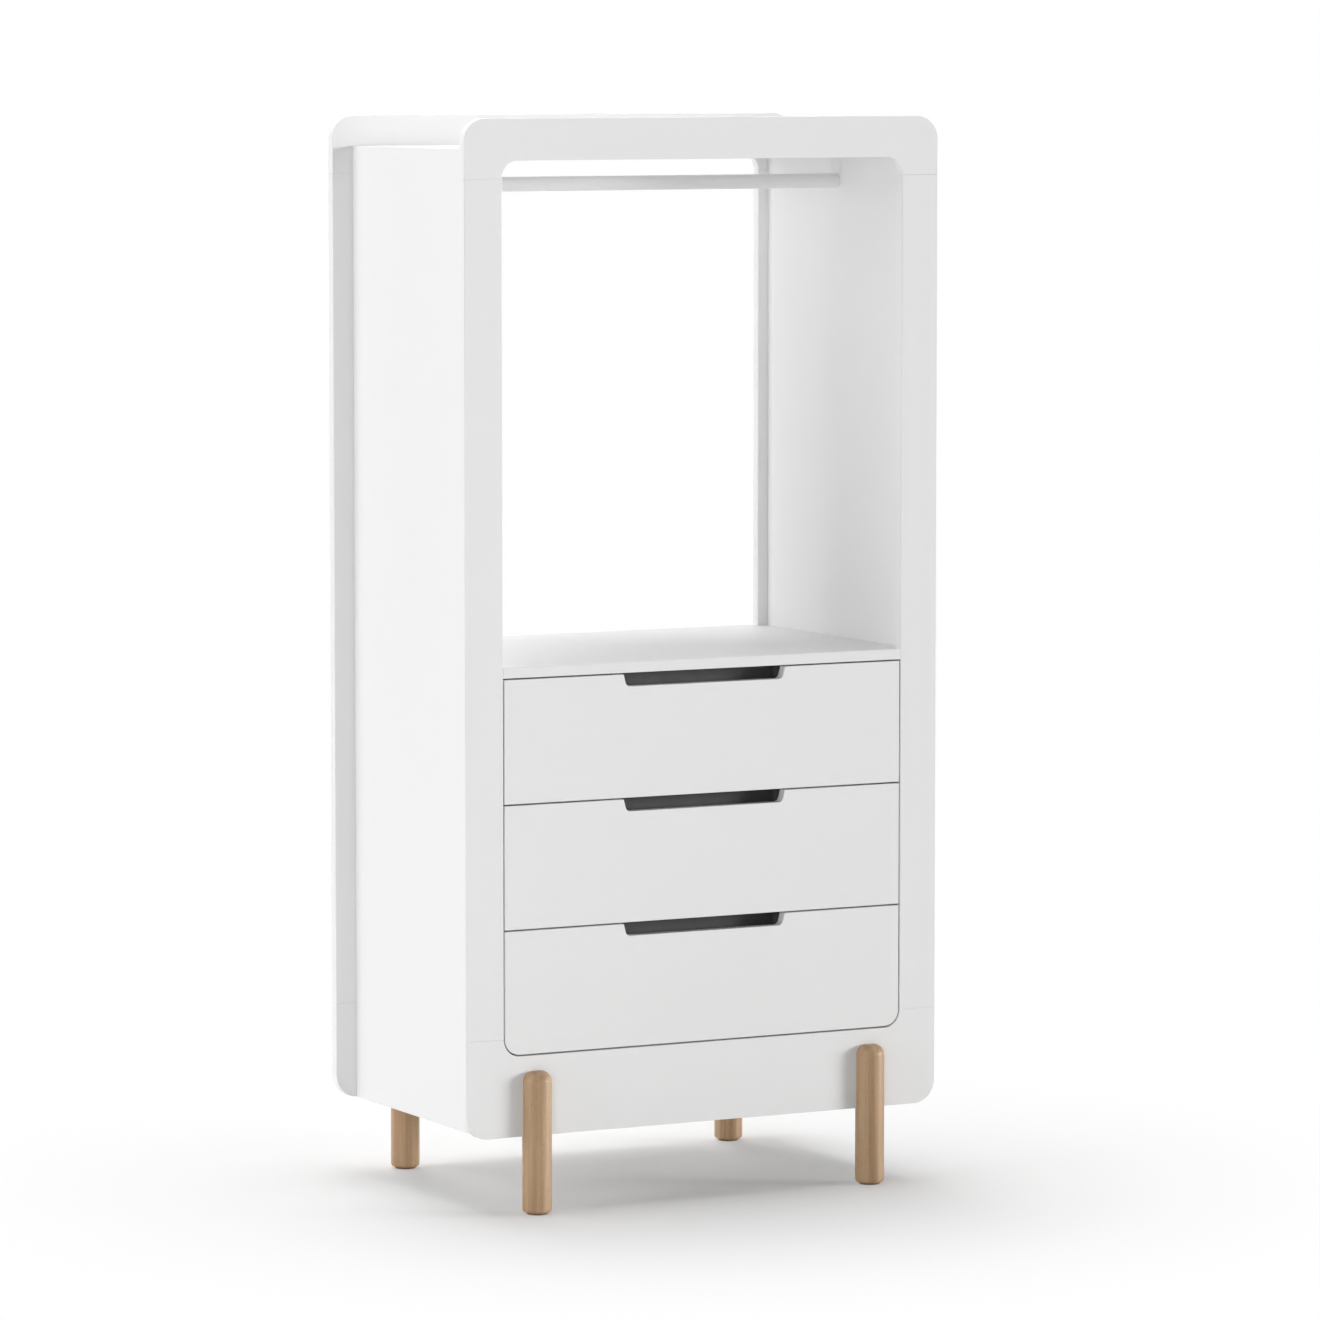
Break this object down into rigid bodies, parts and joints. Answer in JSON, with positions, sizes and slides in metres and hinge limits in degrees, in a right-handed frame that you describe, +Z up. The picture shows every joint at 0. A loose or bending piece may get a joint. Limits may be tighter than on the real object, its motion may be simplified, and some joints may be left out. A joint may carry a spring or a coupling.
{
  "type": "wardrobe with drawers",
  "caption": "Open white wardrobe: twin rounded frames carry a hanging rail and an open deck above notched flush drawers, on round wooden legs.",
  "frame": {"origin": "on the floor, in the middle of the whole width and of the whole depth, legs included", "axes": "+X to the right seen from the front, +Y to the back, +Z up; the drawers open towards -Y"},
  "size_m": [0.9, 0.564, 1.832],
  "materials": {
    "white_lacquer": "satin white lacquer on board",
    "white_board": "matte white foil on board",
    "beech": "clear matte lacquer on solid beech",
    "batten_wood": "planed, untreated",
    "white_steel": "satin white powder coat",
    "dark_plastic": "fine matte, moulded",
    "glide_plastic": "matte",
    "zinc_steel": "zinc plated",
    "brass": "plain"
  },
  "bodies": {
    "cabinet": {"front_top_rail": "white_lacquer", "front_bottom_rail": "white_lacquer", "front_left_stile": "white_lacquer", "front_right_stile": "white_lacquer", "back_top_rail": "white_lacquer", "back_bottom_rail": "white_lacquer", "back_left_stile": "white_lacquer", "back_right_stile": "white_lacquer", "frame_dowels": "beech", "left_side_panel": "white_lacquer", "right_side_panel": "white_lacquer", "top_panel": "white_lacquer", "deck_panel": "white_lacquer", "bottom_panel": "white_lacquer", "back_panel": "white_board", "panel_dowels": "beech", "back_panel_screws": "zinc_steel", "hanging_rail": "white_steel", "rail_plugs": "dark_plastic", "front_left_leg": "beech", "front_right_leg": "beech", "rear_left_leg": "beech", "rear_right_leg": "beech", "leg_glides": "glide_plastic", "leg_bolts": "zinc_steel", "leg_inserts": "brass", "left_battens": "batten_wood", "right_battens": "batten_wood", "cabinet_runners": "zinc_steel", "cabinet_runner_screws": "zinc_steel"},
    "top_drawer": {"top_drawer_front": "white_lacquer", "top_drawer_pull": "dark_plastic", "top_drawer_left_side": "white_board", "top_drawer_right_side": "white_board", "top_drawer_back": "white_board", "top_drawer_bottom": "white_board", "top_drawer_dowels": "beech", "top_drawer_runners": "zinc_steel", "top_drawer_screws": "zinc_steel"},
    "top_intermediate": {"top_intermediate_runners": "zinc_steel"},
    "middle_drawer": {"middle_drawer_front": "white_lacquer", "middle_drawer_pull": "dark_plastic", "middle_drawer_left_side": "white_board", "middle_drawer_right_side": "white_board", "middle_drawer_back": "white_board", "middle_drawer_bottom": "white_board", "middle_drawer_dowels": "beech", "middle_drawer_runners": "zinc_steel", "middle_drawer_screws": "zinc_steel"},
    "middle_intermediate": {"middle_intermediate_runners": "zinc_steel"},
    "bottom_drawer": {"bottom_drawer_front": "white_lacquer", "bottom_drawer_pull": "dark_plastic", "bottom_drawer_left_side": "white_board", "bottom_drawer_right_side": "white_board", "bottom_drawer_back": "white_board", "bottom_drawer_bottom": "white_board", "bottom_drawer_dowels": "beech", "bottom_drawer_runners": "zinc_steel", "bottom_drawer_screws": "zinc_steel"},
    "bottom_intermediate": {"bottom_intermediate_runners": "zinc_steel"}
  },
  "joints": [
    {"name": "top_drawer_slide", "type": "slide", "parent": "cabinet", "child": "top_drawer", "axis": [0, -1, 0], "range_m": [0, 0.4]},
    {"name": "top_intermediate_slide", "type": "slide", "parent": "cabinet", "child": "top_intermediate", "axis": [0, -1, 0], "range_m": [0, 0.2]},
    {"name": "middle_drawer_slide", "type": "slide", "parent": "cabinet", "child": "middle_drawer", "axis": [0, -1, 0], "range_m": [0, 0.4]},
    {"name": "middle_intermediate_slide", "type": "slide", "parent": "cabinet", "child": "middle_intermediate", "axis": [0, -1, 0], "range_m": [0, 0.2]},
    {"name": "bottom_drawer_slide", "type": "slide", "parent": "cabinet", "child": "bottom_drawer", "axis": [0, -1, 0], "range_m": [0, 0.4]},
    {"name": "bottom_intermediate_slide", "type": "slide", "parent": "cabinet", "child": "bottom_intermediate", "axis": [0, -1, 0], "range_m": [0, 0.2]}
  ],
  "couplings": [
    {"joint": "top_intermediate_slide", "follows": "top_drawer_slide", "ratio": 0.5},
    {"joint": "middle_intermediate_slide", "follows": "middle_drawer_slide", "ratio": 0.5},
    {"joint": "bottom_intermediate_slide", "follows": "bottom_drawer_slide", "ratio": 0.5}
  ]
}
